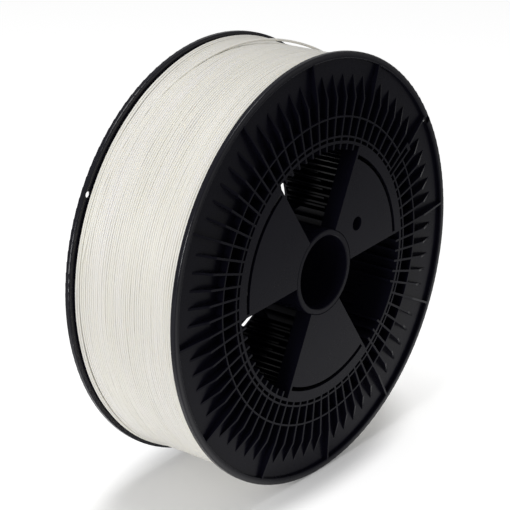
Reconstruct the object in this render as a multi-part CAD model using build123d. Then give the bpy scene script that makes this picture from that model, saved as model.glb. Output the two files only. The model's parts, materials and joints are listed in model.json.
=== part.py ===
from build123d import *
import os
from math import cos, radians, sin, tan

# Filament reel of the 300 mm size: two moulded halves that meet at the mid-plane, wound with one filament.
# Frame: origin at the centre of the spindle bore, +Y along the spindle, +Z up, near half on the -Y side.
# Each half is drawn with its outward direction along +Z and is then turned into place.
# Millimetres and degrees.

# Overall sizes
reel_width = 100.0
half_width = reel_width / 2
flange_radius = 150.0

# Hub tube with the spindle bore
bore_radius = 25.75
hub_radius = 29.7
bore_chamfer = 0.6

# Flange plate, its lip, and the fins on its outer face
plate_inner_height = 43.3
plate_outer_height = 44.8
lip_inner_radius = 145.2
lip_outer_height = 47.3
lip_rounding = 0.9
fin_count = 72
fin_pitch = 360 / fin_count
fin_thickness = 1.5
fin_kink_radius = 120.0
fin_toe_radius = 135.0
long_fin_every = 6
fin_root = 0.4
fin_end_overlap = 1.0

# Drum: an inner wall, a stiffening ring and the outer wall that the filament is wound on
inner_wall = (88.5, 90.5)
middle_ring = (92.7, 94.0)
outer_wall = (106.3, 107.5)
middle_ring_depth = 12.0
mid_web_thickness = 2.0
inner_rib_radius = 84.5
short_rib_height = 25.0
short_rib_steps = (-8, -7, -6)
web_overlap = 0.5

# Low ribs between the others, under the sector plates
low_rib_radius = 86.0
low_rib_start = 14.0

# Slot between a pair of fins, where the filament's first end is passed out of the winding
slot_half_angle = 1.3
slot_width = 3.0
slot_radii = (91.5, 115.0)
slot_floor = 38.0
slot_bridge_length = 3.0

# Sector plates that join the hub to the drum on each end face, with windows between them
sector_count = 3
sector_angle = 60.0
sector_skin = 2.0
sector_wall_depth = 12.5
sector_wall_thickness = 2.0
sector_plate_radius = 80.0
near_band_radius = 83.0
far_band_radius = 85.0

# Drive hole in the first sector plate, with a short boss behind it
drive_hole_radius = 5.0
drive_hole_centre = 44.5
drive_boss_radius = 7.0

# Angle of the first fin, and of the filament hole through each lip
first_fin_angle = 4.2
near_hole_angle = 32.5
far_hole_angle = 151.8
filament_hole_radius = 2.2
filament_hole_centre = 146.6
hole_notch_radius = 149.0
hole_notch_width = 5.0

# Winding and its loose last turn
winding_radius = 146.0
winding_edge_drop = 0.5
winding_shoulder = 3.0
winding_half_width = 43.2
filament_diameter = 1.75

# Route of the loose last turn, over the top of the winding: angle, distance along +Y and radius of its line
last_turn_route = [
    (168, 36.5, 147.2),
    (156, 35.5, 147.2),
    (144, 34.0, 147.2),
    (132, 31.5, 147.2),
    (120, 29.0, 147.2),
    (108, 26.0, 147.3),
    (96, 23.0, 147.7),
    (84, 19.0, 148.1),
    (72, 13.0, 148.3),
    (60, 7.0, 148.2),
    (48, 1.0, 147.9),
    (36, -4.0, 147.4),
    (24, -8.0, 147.2),
    (12, -11.0, 147.2),
    (0, -13.0, 147.2),
]
arc_share = 0.45


def rounded_ring(inner, outer, low, high):
    """A plain ring between two radii and two heights."""
    return Pos(0, 0, low) * extrude(Circle(outer) - Circle(inner), high - low)


def radial_bar(inner, outer, width, angle):
    """A flat bar that points outwards from the axis at an angle."""
    bar = Pos((inner + outer) / 2, 0) * Rectangle(outer - inner, width)
    return Rot(Z=angle) * bar


def fin_angle(step):
    """Angle of the numbered fin."""
    return first_fin_angle + step * fin_pitch


slot_step = int(sector_angle / 2 / fin_pitch)
sector_steps = int(sector_angle / fin_pitch)
fin_steps = [step for step in range(fin_count) if step != slot_step]
slot_angle = fin_angle(slot_step)
twin_angles = (slot_angle - slot_half_angle, slot_angle + slot_half_angle)


def in_sector(step):
    """True where a fin lies under a sector plate and not on its edge."""
    return 0 < step % (2 * sector_steps) < sector_steps


def on_sector_edge(step):
    """True where a fin carries on as the side wall of a sector plate."""
    return step % sector_steps == 0


def make_hub():
    """Half of the hub tube, with a chamfered mouth."""
    hub = rounded_ring(bore_radius, hub_radius, 0, half_width)
    mouth = hub.edges().filter_by(GeomType.CIRCLE).group_by(Axis.Z)[-1]
    return chamfer(mouth, bore_chamfer)


def make_slot_cutter():
    """The straight slot through the drum's rings and the flange plate."""
    low, high = slot_radii
    outline = radial_bar(low, high, slot_width, slot_angle)
    return Pos(0, 0, slot_floor) * extrude(outline, half_width)


def inner_rib_top(step):
    """Height that a rib inside the drum reaches."""
    if on_sector_edge(step):
        return half_width - sector_wall_depth
    if in_sector(step):
        return half_width - sector_skin
    if step - fin_count in short_rib_steps:
        return short_rib_height
    return half_width


def make_drum():
    """Half of the drum: two walls joined by radial webs, closed at the mid-plane, with ribs inside."""
    low_radius = inner_wall[0]
    high_radius = outer_wall[1]
    floor = rounded_ring(low_radius, high_radius, 0, mid_web_thickness)
    outline = Sketch() + (Circle(inner_wall[1]) - Circle(low_radius))
    outline += Circle(high_radius) - Circle(outer_wall[0])
    wall_angles = [fin_angle(step) for step in fin_steps] + list(twin_angles)
    wall_middle = sum(inner_wall) / 2
    web_end = outer_wall[0] + web_overlap
    webs = [radial_bar(wall_middle, web_end, fin_thickness, angle) for angle in wall_angles]
    outline += webs
    walls = Pos(0, 0, mid_web_thickness) * extrude(outline, half_width - mid_web_thickness)
    ring_floor = half_width - middle_ring_depth
    ring = rounded_ring(middle_ring[0], middle_ring[1], ring_floor, half_width)
    drum = floor + walls + ring - make_slot_cutter()
    ribs = []
    for step in range(fin_count):
        bar = radial_bar(inner_rib_radius, wall_middle, fin_thickness, fin_angle(step))
        ribs.append(extrude(bar - Circle(inner_rib_radius), inner_rib_top(step)))
        if step % (2 * sector_steps) < sector_steps:
            ribs.append(make_low_rib(fin_angle(step) + fin_pitch / 2))
    return drum + ribs


def make_low_rib(angle):
    """A low rib that holds up the band of a sector plate between two of the other ribs."""
    bar = radial_bar(low_rib_radius, sum(inner_wall) / 2, fin_thickness, angle)
    return Pos(0, 0, low_rib_start) * extrude(bar, half_width - sector_skin - low_rib_start)


def make_fin(angle, is_long):
    """A fin on the flange, flush with the end face and then sloping down to the plate or to the lip."""
    low = plate_outer_height - fin_root
    inner = outer_wall[0]
    if is_long:
        end = lip_inner_radius + fin_end_overlap
        toe = [(end, lip_outer_height), (end, low)]
    else:
        toe = [(fin_toe_radius, plate_outer_height), (fin_toe_radius, low)]
    points = [(inner, low), (inner, half_width), (fin_kink_radius, half_width)] + toe
    face = make_face(Plane.XZ * Polyline(points, close=True))
    return Rot(Z=angle) * extrude(face, fin_thickness / 2, both=True)


def make_flange(hole_angle):
    """Flange plate with its rounded lip, fins, filament hole and the end of the slot."""
    profile = Polyline(
        (outer_wall[0], plate_inner_height),
        (flange_radius, plate_inner_height),
        (flange_radius, lip_outer_height),
        (lip_inner_radius, lip_outer_height),
        (lip_inner_radius, plate_outer_height),
        (outer_wall[0], plate_outer_height),
        close=True,
    )
    plate = revolve(make_face(Plane.XZ * profile), Axis.Z)
    circles = plate.edges().filter_by(GeomType.CIRCLE)
    lip_edges = circles.filter_by(lambda edge: edge.center().Z > plate_outer_height + lip_rounding)
    rim_edges = circles.filter_by(lambda edge: edge.radius > flange_radius - lip_rounding)
    rounded = lip_edges + [edge for edge in rim_edges if edge not in lip_edges]
    plate = fillet(rounded, lip_rounding)
    fins = [make_fin(fin_angle(step), step % long_fin_every == 0) for step in fin_steps]
    fins.append(make_fin(slot_angle, True))
    twin_reach = Cylinder(slot_radii[1] + slot_bridge_length, reel_width * 2)
    fins += [make_fin(angle, False) & twin_reach for angle in twin_angles]
    bridge_end = slot_radii[1] + slot_bridge_length
    bridge = radial_bar(slot_radii[1], bridge_end, slot_width + fin_thickness, slot_angle)
    bridge_low = plate_outer_height - fin_root
    fins.append(Pos(0, 0, bridge_low) * extrude(bridge, half_width - bridge_low))
    flange = plate + fins - Cylinder(outer_wall[1], reel_width * 2) - make_slot_cutter()
    return flange - make_filament_hole(hole_angle)


def make_filament_hole(angle):
    """Cutter for the filament hole, with a notch in the lip that leaves a thin wall round the hole."""
    hole = Pos(filament_hole_centre, 0, 0) * Cylinder(filament_hole_radius, reel_width * 2)
    notch = radial_bar(lip_inner_radius - fin_end_overlap, hole_notch_radius, hole_notch_width, 0)
    cutter = hole + Pos(0, 0, plate_outer_height) * extrude(notch, half_width)
    return Rot(Z=angle) * cutter


def make_sector(index, band_radius):
    """One sector plate with its two side walls and the band that closes the drum's inner ribs."""
    start = first_fin_angle + index * 2 * sector_angle
    skin_low = half_width - sector_skin
    wall_low = half_width - sector_wall_depth
    reach = flange_radius
    corner_angles = (0, sector_angle / 2, sector_angle)
    corners = [(reach * cos(radians(a)), reach * sin(radians(a))) for a in corner_angles]
    wedge = Rot(Z=start) * make_face(Polyline((0, 0), *corners, close=True))
    band = (Circle(inner_wall[0]) - Circle(band_radius)) & wedge
    skin = (Circle(sector_plate_radius) & wedge) + band
    solid = Pos(0, 0, skin_low) * extrude(skin, sector_skin)
    for angle in (start, start + sector_angle):
        wall = radial_bar(bore_radius, inner_wall[1], sector_wall_thickness, angle)
        solid += Pos(0, 0, wall_low) * extrude(wall, sector_wall_depth)
    if index == 0:
        middle = Rot(Z=slot_angle) * Pos(drive_hole_centre, 0, 0)
        solid += middle * Pos(0, 0, wall_low) * extrude(Circle(drive_boss_radius), sector_wall_depth)
        solid -= middle * Cylinder(drive_hole_radius, reel_width * 2)
    solid -= Cylinder(hub_radius, reel_width * 2)
    return solid & Cylinder(inner_wall[0], reel_width * 2)


def make_winding():
    """The wound filament as one ring, a little lower at its two edges."""
    shoulder = winding_half_width - winding_shoulder
    edge_radius = winding_radius - winding_edge_drop
    profile = Polyline(
        (outer_wall[1], -winding_half_width),
        (edge_radius, -winding_half_width),
        (winding_radius, -shoulder),
        (winding_radius, shoulder),
        (edge_radius, winding_half_width),
        (outer_wall[1], winding_half_width),
        close=True,
    )
    return Rot(X=90) * revolve(make_face(Plane.XZ * profile), Axis.Z)


def make_last_turn():
    """The last turn of filament, which lifts clear of the winding at the top."""
    step = radians(last_turn_route[0][0] - last_turn_route[1][0])
    corner_cut = arc_share * 2 * sin(step / 2) * tan(step / 4)
    points = []
    for angle, along, radius in last_turn_route:
        corner_radius = radius * (1 + corner_cut)
        turn = radians(angle)
        points.append(Vector(corner_radius * cos(turn), along, corner_radius * sin(turn)))
    runs = [end - start for start, end in zip(points, points[1:])]
    radii = []
    for before, after in zip(runs, runs[1:]):
        half_turn = radians(before.get_angle(after)) / 2
        radii.append(arc_share * min(before.length, after.length) / tan(half_turn))
    print("last turn radii", [round(radius) for radius in radii])
    route = FilletPolyline(*points, radius=radii)
    section = Plane(origin=points[0], z_dir=route % 0) * Circle(filament_diameter / 2)
    tube = sweep(section, path=route)
    plain_volume = section.area * route.length
    print("last turn length", round(route.length, 1), "volume share", round(tube.volume / plain_volume, 4))
    return tube


to_near_side = Rot(X=90)
mirror_angle = first_fin_angle + 1.5 * sector_angle
middle_of_halves = radians(mirror_angle)
half_turn_axis = Axis((0, 0, 0), (cos(middle_of_halves), 0, sin(middle_of_halves)))
far_hole_in_half = 2 * mirror_angle - far_hole_angle


def place(name, shape, is_far):
    """Turn a piece of a half into place on its side of the reel and write it."""
    placed = to_near_side * shape
    if is_far:
        placed = placed.rotate(half_turn_axis, 180)
    export_step(placed, "parts/" + name + ".step")


os.makedirs("parts", exist_ok=True)
hub_piece = make_hub()
drum_piece = make_drum()
halves = (
    ("near", False, near_hole_angle, near_band_radius),
    ("far", True, far_hole_in_half, far_band_radius),
)
for side, is_far, hole_angle, band_radius in halves:
    place(side + "_hub", hub_piece, is_far)
    place(side + "_drum", drum_piece, is_far)
    place(side + "_flange", make_flange(hole_angle), is_far)
    for index in range(sector_count):
        place(side + "_sector_plate_" + str(index + 1), make_sector(index, band_radius), is_far)
export_step(make_winding(), "parts/filament_winding.step")
export_step(make_last_turn(), "parts/filament_last_turn.step")
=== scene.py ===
"""Looks of a filament reel: two black moulded halves wound with off-white filament.

The file is laid out as an add-on. Run as a script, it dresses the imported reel, winds the filament and sets the stage.
"""

import json
import math

import bmesh
import bpy
from mathutils import Matrix, Vector

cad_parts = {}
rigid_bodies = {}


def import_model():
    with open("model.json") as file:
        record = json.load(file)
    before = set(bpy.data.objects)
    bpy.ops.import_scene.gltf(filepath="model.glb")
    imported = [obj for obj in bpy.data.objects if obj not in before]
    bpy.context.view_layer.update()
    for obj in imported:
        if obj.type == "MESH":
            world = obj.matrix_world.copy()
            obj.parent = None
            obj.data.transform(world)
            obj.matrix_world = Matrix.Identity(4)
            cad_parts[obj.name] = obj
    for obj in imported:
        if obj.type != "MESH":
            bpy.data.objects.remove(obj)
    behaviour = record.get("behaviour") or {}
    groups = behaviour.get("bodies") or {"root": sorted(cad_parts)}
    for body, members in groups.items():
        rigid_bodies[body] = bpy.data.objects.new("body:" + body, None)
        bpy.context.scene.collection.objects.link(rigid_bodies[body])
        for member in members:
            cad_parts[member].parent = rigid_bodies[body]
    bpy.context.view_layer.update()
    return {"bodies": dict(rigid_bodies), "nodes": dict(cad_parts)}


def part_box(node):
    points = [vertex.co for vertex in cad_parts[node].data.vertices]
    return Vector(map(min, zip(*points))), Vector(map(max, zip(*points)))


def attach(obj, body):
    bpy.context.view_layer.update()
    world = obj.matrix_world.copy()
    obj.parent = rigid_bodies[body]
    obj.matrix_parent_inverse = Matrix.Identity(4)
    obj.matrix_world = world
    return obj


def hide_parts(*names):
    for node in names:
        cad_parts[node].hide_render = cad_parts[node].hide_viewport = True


bl_info = {
    "name": "Filament Reel",
    "version": (1, 0, 0),
    "blender": (4, 5, 0),
    "location": "3D View > Sidebar > Reel",
    "description": "Moulded reel halves, wound filament and a white stage",
    "category": "Object",
}

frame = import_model()

# Places read from the frame, in metres
ROOT = next(iter(frame["bodies"]))
WINDING_RADIUS, WINDING_HALF_WIDTH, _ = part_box("filament_winding")[1]
DRUM_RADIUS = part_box("near_drum")[1].x
FLOOR_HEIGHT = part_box("near_flange")[0].z
REEL_NODES = sorted(name for name in frame["nodes"] if not name.startswith("filament"))
MM = 0.001

# Turns of filament: distance between layers and depth of the core under them, in diameters
LAYER_PITCH = 0.86
CORE_DEPTH = 0.2
STEPS_PER_TURN = {"top": 140, "under": 90}

# Radii between which the rim turns from satin to gloss, in metres
GLOSS_START, GLOSS_FULL = 0.1455, 0.1490

# Floor, in metres: its size, and where its glow starts to fade and is gone, ahead of the reel and to its left. The glow
# is painted light, and the fade is painted shade that darkens the floor there.
FLOOR_HALF_WIDTH = 14.0
FLOOR_GAP = 0.0002
PAINTED_DIMMING_AHEAD = (-0.14, -0.40)
PAINTED_DIMMING_ASIDE = (-0.13, -0.34)
# Painted contact shadow: the ellipse under the reel where the floor doesn't glow, with its middle, its half axes and
# its soft edge's share of them
PAINTED_SHADOW_MIDDLE = (-0.02, -0.004)
PAINTED_SHADOW_REACH = (0.15, 0.064)
PAINTED_SHADOW_EDGE = (0.8, 1.2)

# How far the camera stands right of the line through the bore and above it, in metres
CAMERA_SHIFT = (-0.007946, 0.000888)

# Lamps: name, place in metres, size in metres and power in watts
LAMPS = [
    ("top_light", (-0.2, 0.05, 1.85), 0.8, 10.5),
    ("left_light", (-2.0, -0.1, 0.65), 0.7, 21.0),
]

# Route of the loose last turn: angle in degrees, distance along +Y and radius of its line, both in millimetres
LAST_TURN_ROUTE = [
    (168, 36.5, 145.4),
    (156, 35.5, 145.4),
    (144, 34.0, 145.4),
    (132, 31.5, 145.5),
    (120, 29.0, 145.6),
    (108, 26.0, 146.1),
    (96, 23.0, 147.1),
    (84, 19.0, 148.1),
    (72, 13.0, 148.3),
    (60, 7.0, 148.2),
    (48, 1.0, 147.9),
    (36, -4.0, 147.4),
    (24, -8.0, 147.2),
    (12, -11.0, 147.2),
    (0, -13.0, 147.2),
]
ROUTE_ARC_SHARE = 0.45


# Node expressions


class Value:
    """A node's output in an expression. Arithmetic on it adds Math nodes to its tree."""

    def __init__(self, graph, socket):
        self.graph = graph
        self.socket = socket

    def maths(self, operation, *others):
        """A Math node of this operation, with this value first."""
        return self.graph.maths(operation, self, *others)

    def __add__(self, other):
        return self.graph.maths("ADD", self, other)

    __radd__ = __add__

    def __sub__(self, other):
        return self.graph.maths("SUBTRACT", self, other)

    def __rsub__(self, other):
        return self.graph.maths("SUBTRACT", other, self)

    def __mul__(self, other):
        return self.graph.maths("MULTIPLY", self, other)

    __rmul__ = __mul__

    def __truediv__(self, other):
        return self.graph.maths("DIVIDE", self, other)

    def __abs__(self):
        return self.graph.maths("ABSOLUTE", self)


class Graph:
    """A node tree that nodes are added to, each with its settings first and then its inputs."""

    def __init__(self, tree):
        self.tree = tree
        tree.nodes.clear()

    def node(self, kind, settings=None, inputs=None):
        """Add a node. Inputs are named or numbered, and each is a number, a colour or another node's Value."""
        made = self.tree.nodes.new(kind)
        for name, setting in (settings or {}).items():
            setattr(made, name, setting)
        for key, value in (inputs or {}).items():
            self.feed(made.inputs[key], value)
        return made

    def feed(self, socket, value):
        """Link a Value to a socket, or set the socket's own number."""
        if isinstance(value, Value):
            self.tree.links.new(value.socket, socket)
        else:
            socket.default_value = value

    def value(self, kind, settings=None, inputs=None, output=0):
        """Add a node and return one of its outputs."""
        made = self.node(kind, settings, inputs)
        return Value(self, made.outputs[output])

    def maths(self, operation, *terms):
        """Add a Math node."""
        return self.value("ShaderNodeMath", {"operation": operation}, dict(enumerate(terms)))

    def vector(self, x, y, z):
        """Join three numbers into a vector."""
        return self.value("ShaderNodeCombineXYZ", None, {"X": x, "Y": y, "Z": z})

    def axes(self, vector):
        """Split a vector into its three numbers."""
        parts = self.node("ShaderNodeSeparateXYZ", None, {0: vector})
        return [Value(self, parts.outputs[axis]) for axis in ("X", "Y", "Z")]

    def length(self, first, second):
        """Length of the hypotenuse over two numbers."""
        return (first * first + second * second).maths("SQRT")

    def mix(self, factor, first, second):
        """Mix two colours."""
        return self.value("ShaderNodeMix", {"data_type": "RGBA"}, {0: factor, 6: first, 7: second}, output=2)

    def smooth_step(self, value, low, high):
        """0 at the low value, 1 at the high value and smooth between them."""
        return self.value(
            "ShaderNodeMapRange",
            {"interpolation_type": "SMOOTHSTEP"},
            {"Value": value, "From Min": low, "From Max": high},
        )


def grey(level):
    """A grey of this level."""
    return (level, level, level, 1.0)


def shade(colour, factors):
    """A colour with each channel multiplied."""
    return [channel * factor for channel, factor in zip(colour, factors)] + [1.0]


# Settings


class ReelPlasticSettings(bpy.types.PropertyGroup):
    """Finish of the two moulded halves."""

    colour: bpy.props.FloatVectorProperty(
        name="Colour",
        description="Colour of the moulded plastic",
        subtype="COLOR",
        size=3,
        min=0.0,
        max=1.0,
        default=(0.0036, 0.0034, 0.0072),
    )
    roughness: bpy.props.FloatProperty(
        name="Roughness",
        description="Roughness of the satin mould surface",
        subtype="FACTOR",
        min=0.0,
        max=1.0,
        default=0.28,
    )
    rim_gloss: bpy.props.FloatProperty(
        name="Rim Gloss",
        description="Gloss of the handled rims, on top of the satin surface",
        subtype="FACTOR",
        min=0.0,
        max=1.0,
        default=0.5,
    )
    grain: bpy.props.FloatProperty(
        name="Grain",
        description="Size of the eroded grain that the mould leaves",
        subtype="DISTANCE",
        unit="LENGTH",
        min=0.0001,
        default=0.0007,
    )


class FilamentSettings(bpy.types.PropertyGroup):
    """Size, colour and winding of the filament."""

    diameter: bpy.props.FloatProperty(
        name="Diameter",
        description="Diameter of the filament",
        subtype="DISTANCE",
        unit="LENGTH",
        min=0.001,
        default=0.00175,
    )
    colour: bpy.props.FloatVectorProperty(
        name="Colour",
        description="Colour of the filament",
        subtype="COLOR",
        size=3,
        min=0.0,
        max=1.0,
        default=(0.775, 0.755, 0.716),
    )
    turns: bpy.props.IntProperty(
        name="Turns",
        description="Turns side by side in one layer",
        min=2,
        default=48,
    )
    wander: bpy.props.FloatProperty(
        name="Wander",
        description="How far neighbouring turns drift sideways together",
        subtype="DISTANCE",
        unit="LENGTH",
        min=0.0,
        default=0.0015,
    )
    lift: bpy.props.FloatProperty(
        name="Lift",
        description="How far a turn rises or sinks in its layer",
        subtype="DISTANCE",
        unit="LENGTH",
        min=0.0,
        default=0.00045,
    )
    edge_rise: bpy.props.FloatProperty(
        name="Edge Rise",
        description="How far the turns beside the far flange climb where they are wound fullest",
        subtype="DISTANCE",
        unit="LENGTH",
        min=0.0,
        default=0.0024,
    )
    edge_gap: bpy.props.FloatProperty(
        name="Edge Gap",
        description="Widest opening between the turns beside the far flange and the others",
        subtype="DISTANCE",
        unit="LENGTH",
        min=0.0,
        default=0.0019,
    )


class StageSettings(bpy.types.PropertyGroup):
    """Camera and light."""

    azimuth: bpy.props.FloatProperty(
        name="Azimuth",
        description="Camera's angle round the reel",
        subtype="ANGLE",
        unit="ROTATION",
        default=math.radians(-51.01),
    )
    elevation: bpy.props.FloatProperty(
        name="Elevation",
        description="Camera's angle above the horizon",
        subtype="ANGLE",
        unit="ROTATION",
        default=math.radians(20.347),
    )
    distance: bpy.props.FloatProperty(
        name="Distance",
        description="Camera's distance from the middle of the bore",
        subtype="DISTANCE",
        unit="LENGTH",
        default=1.26158,
    )
    lens: bpy.props.FloatProperty(
        name="Lens",
        description="Focal length on a 36 mm sensor",
        subtype="DISTANCE_CAMERA",
        unit="CAMERA",
        default=128.74,
    )
    ambient: bpy.props.FloatProperty(
        name="Ambient",
        description="Brightness of the white surroundings",
        min=0.0,
        default=0.42,
    )


# Materials


def new_material(name):
    """A material whose tree holds only an output, and the graph that fills it."""
    material = bpy.data.materials.new(name)
    material.use_nodes = True
    return material, Graph(material.node_tree)


def finish_material(graph, inputs):
    """Add the Principled shader with its inputs and link it to the output."""
    shader = graph.value("ShaderNodeBsdfPrincipled", None, inputs)
    graph.node("ShaderNodeOutputMaterial", None, {"Surface": shader})


def reel_plastic(settings):
    """Satin black plastic with an eroded mould grain and faint flow marks."""
    material, graph = new_material("reel_plastic")
    place = graph.value("ShaderNodeTexCoord", output="Object")
    grain = graph.value(
        "ShaderNodeTexNoise",
        {"noise_dimensions": "3D"},
        {"Vector": place, "Scale": 1 / settings.grain, "Detail": 2.0, "Roughness": 0.6},
    )
    cloud = graph.value(
        "ShaderNodeTexNoise",
        {"noise_dimensions": "3D"},
        {"Vector": place, "Scale": 28.0, "Detail": 3.0, "Roughness": 0.55, "Distortion": 0.8},
    )
    colour = graph.mix(cloud, shade(settings.colour, (0.8, 0.8, 0.8)), shade(settings.colour, (1.25, 1.25, 1.25)))
    roughness = settings.roughness + 0.10 * (cloud - 0.5) + 0.06 * (grain - 0.5)
    bump = graph.value(
        "ShaderNodeBump",
        None,
        {"Strength": 0.12, "Distance": 0.0001, "Height": grain},
    )
    east, _, up = graph.axes(place)
    rim = graph.smooth_step(graph.length(east, up), GLOSS_START, GLOSS_FULL)
    finish_material(
        graph,
        {
            "Base Color": colour,
            "Roughness": roughness,
            "Normal": bump,
            "Specular IOR Level": 0.07,
            "Coat Weight": rim * settings.rim_gloss,
            "Coat Roughness": 0.22,
        },
    )
    return material


def filament_plastic(settings):
    """Smooth extruded filament, slightly translucent, with small changes of tone along its length."""
    material, graph = new_material("filament_plastic")
    place = graph.value("ShaderNodeTexCoord", output="Object")
    stretched = graph.value(
        "ShaderNodeMapping",
        {"vector_type": "POINT"},
        {"Vector": place, "Scale": (7.0, 120.0, 7.0)},
    )
    tone = graph.value(
        "ShaderNodeTexNoise",
        {"noise_dimensions": "3D"},
        {"Vector": stretched, "Scale": 1.0, "Detail": 3.0, "Roughness": 0.5},
    )
    yellowish, milky = shade(settings.colour, (0.975, 0.98, 0.91)), shade(settings.colour, (1.02, 1.02, 1.05))
    colour = graph.mix(tone, yellowish, milky)
    finish_material(
        graph,
        {
            "Base Color": colour,
            "Roughness": 0.30 + 0.12 * tone,
            "IOR": 1.46,
            "Subsurface Weight": 0.12,
            "Subsurface Radius": (1.0, 0.9, 0.7),
            "Subsurface Scale": 0.0012,
        },
    )
    return material


# Meshes


def link(obj):
    """Put an object into the scene."""
    bpy.context.scene.collection.objects.link(obj)
    return obj


def mesh_piece(name, mesh, material):
    """A mesh object at the origin with one material."""
    mesh.name = name
    mesh.materials.clear()
    mesh.materials.append(material)
    return link(bpy.data.objects.new(name, mesh))


def lathe(outline, steps):
    """A closed ring mesh from an outline of (radius, along Y) points, turned about the Y axis."""
    ring = bmesh.new()
    rows = []
    for step in range(steps):
        angle = step * math.tau / steps
        rows.append([ring.verts.new((r * math.cos(angle), y, r * math.sin(angle))) for r, y in outline])
    for step, row in enumerate(rows):
        following = rows[(step + 1) % steps]
        for place in range(len(outline)):
            after = (place + 1) % len(outline)
            ring.faces.new((row[place], row[after], following[after], following[place]))
    bmesh.ops.recalc_face_normals(ring, faces=ring.faces[:])
    for face in ring.faces:
        face.smooth = True
    mesh = bpy.data.meshes.new("ring")
    ring.to_mesh(mesh)
    ring.free()
    return mesh


def plain_mesh(obj):
    """The evaluated mesh of an object, which is then removed."""
    graph = bpy.context.evaluated_depsgraph_get()
    mesh = bpy.data.meshes.new_from_object(obj.evaluated_get(graph))
    bpy.data.objects.remove(obj)
    return mesh


# Winding


class WindingTree:
    """Geometry Nodes tree that winds layers of filament round a core."""

    # Noise scales, round the reel and along it: drift shared by many turns, drift of single turns, and rise
    slow, quick, pile = (1.7, 30.0), (3.4, 520.0), (2.2, 150.0)
    # Angles from +X towards +Z: middle of the opening beside the far flange, and where its turns climb least
    opening_angle, lowest_angle = math.radians(222), math.radians(165)

    inputs = [
        ("Turns", "NodeSocketInt"),
        ("Steps", "NodeSocketInt"),
        ("Radius", "NodeSocketFloat"),
        ("Half Width", "NodeSocketFloat"),
        ("Diameter", "NodeSocketFloat"),
        ("Wander", "NodeSocketFloat"),
        ("Lift", "NodeSocketFloat"),
        ("Edge Rise", "NodeSocketFloat"),
        ("Edge Gap", "NodeSocketFloat"),
        ("Seed", "NodeSocketFloat"),
        ("Material", "NodeSocketMaterial"),
    ]

    def __init__(self, sides):
        self.tree = bpy.data.node_groups.new("winding_layer", "GeometryNodeTree")
        self.graph = Graph(self.tree)
        self.names = {}
        for name, kind in self.inputs:
            made = self.tree.interface.new_socket(name, in_out="INPUT", socket_type=kind)
            self.names[name] = made.identifier
        self.tree.interface.new_socket("Geometry", in_out="OUTPUT", socket_type="NodeSocketGeometry")
        entry = self.graph.node("NodeGroupInput")
        self.given = {name: Value(self.graph, entry.outputs[name]) for name, _ in self.inputs}
        self.build(sides)

    def noise(self, place, seed):
        """Smooth noise from -1 to 1 at a place."""
        found = self.graph.value(
            "ShaderNodeTexNoise",
            {"noise_dimensions": "4D", "normalize": True},
            {"Vector": place, "W": seed, "Scale": 1.0, "Detail": 1.0, "Roughness": 0.5},
        )
        return (found - 0.5) * 2.6

    def edge_opening(self, angle, along, room):
        """Share of the opening that the turns short of the last two leave beside the far flange."""
        reach = self.graph.smooth_step(along / room, 0.4, 0.88)
        short_of_edge = along.maths("LESS_THAN", room - self.given["Diameter"] * 2.1)
        below = (angle - self.opening_angle).maths("COSINE").maths("MAXIMUM", 0.0).maths("POWER", 8.0)
        return reach * short_of_edge * (0.15 + 0.85 * below)

    def build(self, sides):
        """One helix whose turns drift, rise and sink a little, given its round section."""
        graph, given = self.graph, self.given
        count = given["Turns"] * given["Steps"] + 1
        line = graph.value("GeometryNodeMeshLine", None, {"Count": count})
        index = graph.value("GeometryNodeInputIndex")
        turn = index / given["Steps"]
        angle = turn * math.tau
        room = given["Half Width"] - given["Diameter"] * 0.5
        share = turn / given["Turns"]
        along = (share * 2.0 - 1.0) * room
        east, north = angle.maths("COSINE"), angle.maths("SINE")
        seed = given["Seed"]
        slow, quick, pile = (
            graph.vector(east * around, along * across, north * around)
            for around, across in (self.slow, self.quick, self.pile)
        )
        edge = (abs(along) / room).maths("POWER", 10.0)
        drift = self.noise(slow, seed) * given["Wander"] * (1.0 - edge)
        drift = drift + self.noise(quick, seed + 4.0) * given["Diameter"] * 0.08
        drift = drift - self.edge_opening(angle, along, room) * given["Edge Gap"]
        rise = (self.noise(pile, seed + 8.0) - 0.6) * given["Lift"]
        rise = rise + self.noise(quick, seed + 12.0) * given["Lift"] * 0.4
        fullest = 0.5 - ((angle - self.lowest_angle) * 2.0).maths("COSINE") * 0.5
        beside_far = (along / room * 0.5 + 0.5).maths("POWER", 12.0)
        radius = given["Radius"] + rise + fullest * beside_far * given["Edge Rise"]
        moved = (along + drift).maths("MINIMUM", room).maths("MAXIMUM", room * -1.0)
        place = graph.vector(radius * east, moved, radius * north)
        shaped = graph.value("GeometryNodeSetPosition", None, {"Geometry": line, "Position": place})
        curve = graph.value("GeometryNodeMeshToCurve", None, {"Mesh": shaped})
        section = graph.value(
            "GeometryNodeCurvePrimitiveCircle",
            None,
            {"Resolution": sides, "Radius": given["Diameter"] * 0.5},
        )
        tube = graph.value(
            "GeometryNodeCurveToMesh",
            None,
            {"Curve": curve, "Profile Curve": section, "Fill Caps": True},
        )
        smooth = graph.value("GeometryNodeSetShadeSmooth", None, {"Geometry": tube})
        real = graph.value("GeometryNodeRealizeInstances", None, {"Geometry": smooth})
        dressed = graph.value(
            "GeometryNodeSetMaterial",
            None,
            {"Geometry": real, "Material": given["Material"]},
        )
        graph.node("NodeGroupOutput", None, {"Geometry": dressed})

    def mesh(self, **values):
        """The layer's mesh for these values."""
        holder = link(bpy.data.objects.new("layer", bpy.data.meshes.new("layer")))
        modifier = holder.modifiers.new("winding", "NODES")
        modifier.node_group = self.tree
        for name, value in values.items():
            modifier[self.names[name.replace("_", " ").title()]] = value
        return plain_mesh(holder)


def joined(meshes):
    """Several meshes as one."""
    whole = bmesh.new()
    for mesh in meshes:
        whole.from_mesh(mesh)
        bpy.data.meshes.remove(mesh)
    result = bpy.data.meshes.new("joined")
    whole.to_mesh(result)
    whole.free()
    return result


# Operators


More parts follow.
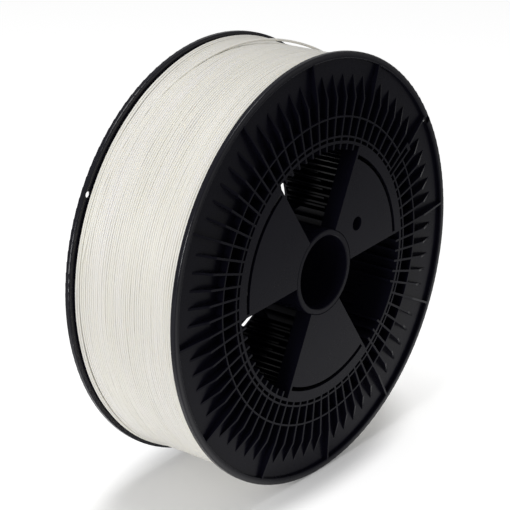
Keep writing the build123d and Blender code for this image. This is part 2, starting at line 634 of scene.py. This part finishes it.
class REEL_OT_dress_halves(bpy.types.Operator):
    """Give the moulded halves their satin black plastic"""

    bl_idname = "reel.dress_halves"
    bl_label = "Dress Reel Halves"

    def execute(self, context):
        plastic = reel_plastic(context.scene.reel_plastic)
        for name in REEL_NODES:
            mesh = frame["nodes"][name].data
            mesh.materials.clear()
            mesh.materials.append(plastic)
        return {"FINISHED"}


class REEL_OT_wind_filament(bpy.types.Operator):
    """Wind the filament round the drum in layers"""

    bl_idname = "reel.wind_filament"
    bl_label = "Wind Filament"

    def execute(self, context):
        settings = context.scene.filament
        plastic = filament_plastic(settings)
        diameter = settings.diameter
        top_radius = WINDING_RADIUS - diameter / 2
        under_radius = top_radius - diameter * LAYER_PITCH
        core_radius = under_radius - diameter * CORE_DEPTH
        common = {
            "turns": settings.turns,
            "half_width": WINDING_HALF_WIDTH,
            "diameter": diameter,
            "wander": settings.wander,
            "lift": settings.lift,
            "edge_rise": settings.edge_rise,
            "edge_gap": settings.edge_gap,
            "material": plastic,
        }
        top = WindingTree(8).mesh(steps=STEPS_PER_TURN["top"], radius=top_radius, seed=3.0, **common)
        under = WindingTree(6).mesh(steps=STEPS_PER_TURN["under"], radius=under_radius, seed=21.0, **common)
        width = WINDING_HALF_WIDTH
        core = lathe([(DRUM_RADIUS, -width), (core_radius, -width), (core_radius, width), (DRUM_RADIUS, width)], 180)
        piece = mesh_piece("wound_filament", joined([top, under, core]), plastic)
        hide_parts("filament_winding")
        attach(piece, ROOT)
        return {"FINISHED"}


def route_points():
    """Corners of the last turn's route, in metres."""
    step = math.radians(LAST_TURN_ROUTE[0][0] - LAST_TURN_ROUTE[1][0])
    corner_cut = ROUTE_ARC_SHARE * 2 * math.sin(step / 2) * math.tan(step / 4)
    points = []
    for degrees, along, radius in LAST_TURN_ROUTE:
        angle = math.radians(degrees)
        reach = radius * (1 + corner_cut) * MM
        points.append((reach * math.cos(angle), along * MM, reach * math.sin(angle)))
    return points


def smooth_route(name, points, radius):
    """A round tube along a smooth line that the points steer."""
    curve = bpy.data.curves.new(name, "CURVE")
    curve.dimensions = "3D"
    spline = curve.splines.new("NURBS")
    spline.points.add(len(points) - 1)
    for point, place in zip(spline.points, points):
        point.co = (*place, 1.0)
    spline.order_u = 3
    spline.use_endpoint_u = True
    curve.resolution_u = 12
    curve.bevel_depth = radius
    curve.bevel_resolution = 4
    curve.use_fill_caps = True
    return link(bpy.data.objects.new(name, curve))


class REEL_OT_lay_last_turn(bpy.types.Operator):
    """Lay the loose last turn of filament over the winding"""

    bl_idname = "reel.lay_last_turn"
    bl_label = "Lay Last Turn"

    def execute(self, context):
        plastic = bpy.data.materials.get("filament_plastic")
        line = smooth_route("last_turn_line", route_points(), context.scene.filament.diameter / 2)
        piece = mesh_piece("loose_last_turn", plain_mesh(line), plastic)
        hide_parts("filament_last_turn")
        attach(piece, ROOT)
        return {"FINISHED"}


def aim(obj, target):
    """Point an object's -Z axis at a place."""
    direction = Vector(target) - obj.location
    obj.rotation_mode = "QUATERNION"
    obj.rotation_quaternion = direction.to_track_quat("-Z", "Y")


def soft_light(name, place, target, size, power):
    """A square area light."""
    lamp = bpy.data.lights.new(name, "AREA")
    lamp.shape = "SQUARE"
    lamp.size = size
    lamp.energy = power
    obj = link(bpy.data.objects.new(name, lamp))
    obj.location = place
    aim(obj, target)
    return obj


class REEL_OT_set_stage(bpy.types.Operator):
    """Set the camera, the white floor and the soft lights"""

    bl_idname = "reel.set_stage"
    bl_label = "Set Stage"

    def execute(self, context):
        settings = context.scene.stage
        self.set_camera(context.scene, settings)
        self.lay_floor()
        self.set_light(context.scene, settings)
        return {"FINISHED"}

    def set_camera(self, scene, settings):
        """Camera on a circle round the reel, with the reel a little right of the middle."""
        turn, rise = settings.azimuth, settings.elevation
        back = Vector((math.sin(turn) * math.cos(rise), -math.cos(turn) * math.cos(rise), math.sin(rise)))
        right = Vector((math.cos(turn), math.sin(turn), 0.0))
        up = back.cross(right)
        data = bpy.data.cameras.new("camera")
        data.lens = settings.lens
        data.sensor_width = 36.0
        data.clip_start = 0.05
        data.clip_end = 50.0
        camera = link(bpy.data.objects.new("camera", data))
        camera.rotation_mode = "QUATERNION"
        camera.rotation_quaternion = Matrix((right, up, back)).transposed().to_quaternion()
        camera.location = back * settings.distance + right * CAMERA_SHIFT[0] + up * CAMERA_SHIFT[1]
        scene.camera = camera

    def lay_floor(self):
        """White floor that glows a little, so that it stays white round the reel. The glow is painted light, with a
        painted contact shadow under the reel and painted shade ahead of the reel and to its left, where the glow fades
        and the colour darkens.
        """
        half = FLOOR_HALF_WIDTH
        corners = [(-half, -half), (half, -half), (half, half), (-half, half)]
        mesh = bpy.data.meshes.new("floor")
        mesh.from_pydata([(x, y, FLOOR_HEIGHT - FLOOR_GAP) for x, y in corners], [], [(0, 1, 2, 3)])
        material, graph = new_material("floor_white_painted_shadow")
        east, north, _ = graph.axes(graph.value("ShaderNodeTexCoord", output="Object"))
        # Painted shade: the floor's glow fades and its colour darkens ahead of the reel and to its left
        ahead = graph.smooth_step(north, *PAINTED_DIMMING_AHEAD)
        aside = graph.smooth_step(east, *PAINTED_DIMMING_ASIDE)
        painted_dimming = ahead.maths("MAXIMUM", aside)
        # Painted contact shadow: an ellipse under the reel, soft at its edge, where the glow is least
        across, along = (
            (value - middle) / reach for value, middle, reach in zip((east, north), PAINTED_SHADOW_MIDDLE, PAINTED_SHADOW_REACH)
        )
        clear = graph.smooth_step(graph.length(across, along), *PAINTED_SHADOW_EDGE)
        # Painted light: the floor glows, faintly in the painted shadow and not at all where the painted shade is full
        glow = graph.mix(painted_dimming, graph.mix(clear, grey(0.2), grey(0.9)), grey(0.0))
        pale_with_painted_shade = graph.mix(painted_dimming, grey(0.75), grey(0.62))
        finish_material(
            graph,
            {
                "Base Color": pale_with_painted_shade,
                "Roughness": 0.9,
                "Specular IOR Level": 0.0,
                "Emission Color": glow,
                "Emission Strength": 0.62,
            },
        )
        mesh_piece("floor", mesh, material)

    def set_light(self, scene, settings):
        """White surroundings, a large light from above and one from the left."""
        world = bpy.data.worlds.new("white_room")
        world.use_nodes = True
        graph = Graph(world.node_tree)
        glow = graph.value("ShaderNodeBackground", None, {"Color": (1, 1, 1, 1), "Strength": settings.ambient})
        graph.node("ShaderNodeOutputWorld", None, {"Surface": glow})
        scene.world = world
        scene.view_settings.view_transform = "Standard"
        for name, place, size, power in LAMPS:
            soft_light(name, place, (0, 0, 0), size, power)


# Panel and registration


class REEL_PT_reel(bpy.types.Panel):
    """Shows the reel's settings and the buttons of its operators"""

    bl_idname = "REEL_PT_reel"
    bl_label = "Filament Reel"
    bl_space_type = "VIEW_3D"
    bl_region_type = "UI"
    bl_category = "Reel"

    def draw(self, context):
        for settings in (context.scene.reel_plastic, context.scene.filament, context.scene.stage):
            box = self.layout.box()
            for name in settings.__annotations__:
                box.prop(settings, name)
        for operator in OPERATORS:
            self.layout.operator(operator.bl_idname)


GROUPS = (
    ("reel_plastic", ReelPlasticSettings),
    ("filament", FilamentSettings),
    ("stage", StageSettings),
)
OPERATORS = (
    REEL_OT_set_stage,
    REEL_OT_dress_halves,
    REEL_OT_wind_filament,
    REEL_OT_lay_last_turn,
)


def register():
    """Register the settings, operators and panel."""
    for name, group in GROUPS:
        bpy.utils.register_class(group)
        setattr(bpy.types.Scene, name, bpy.props.PointerProperty(type=group))
    for made in (*OPERATORS, REEL_PT_reel):
        bpy.utils.register_class(made)


def unregister():
    """Take the settings, operators and panel away again."""
    for made in reversed((*OPERATORS, REEL_PT_reel)):
        bpy.utils.unregister_class(made)
    for name, group in reversed(GROUPS):
        delattr(bpy.types.Scene, name)
        bpy.utils.unregister_class(group)


def main():
    """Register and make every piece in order."""
    register()
    for operator in OPERATORS:
        getattr(bpy.ops.reel, operator.bl_idname.split(".")[1])()


if __name__ == "__main__":
    main()
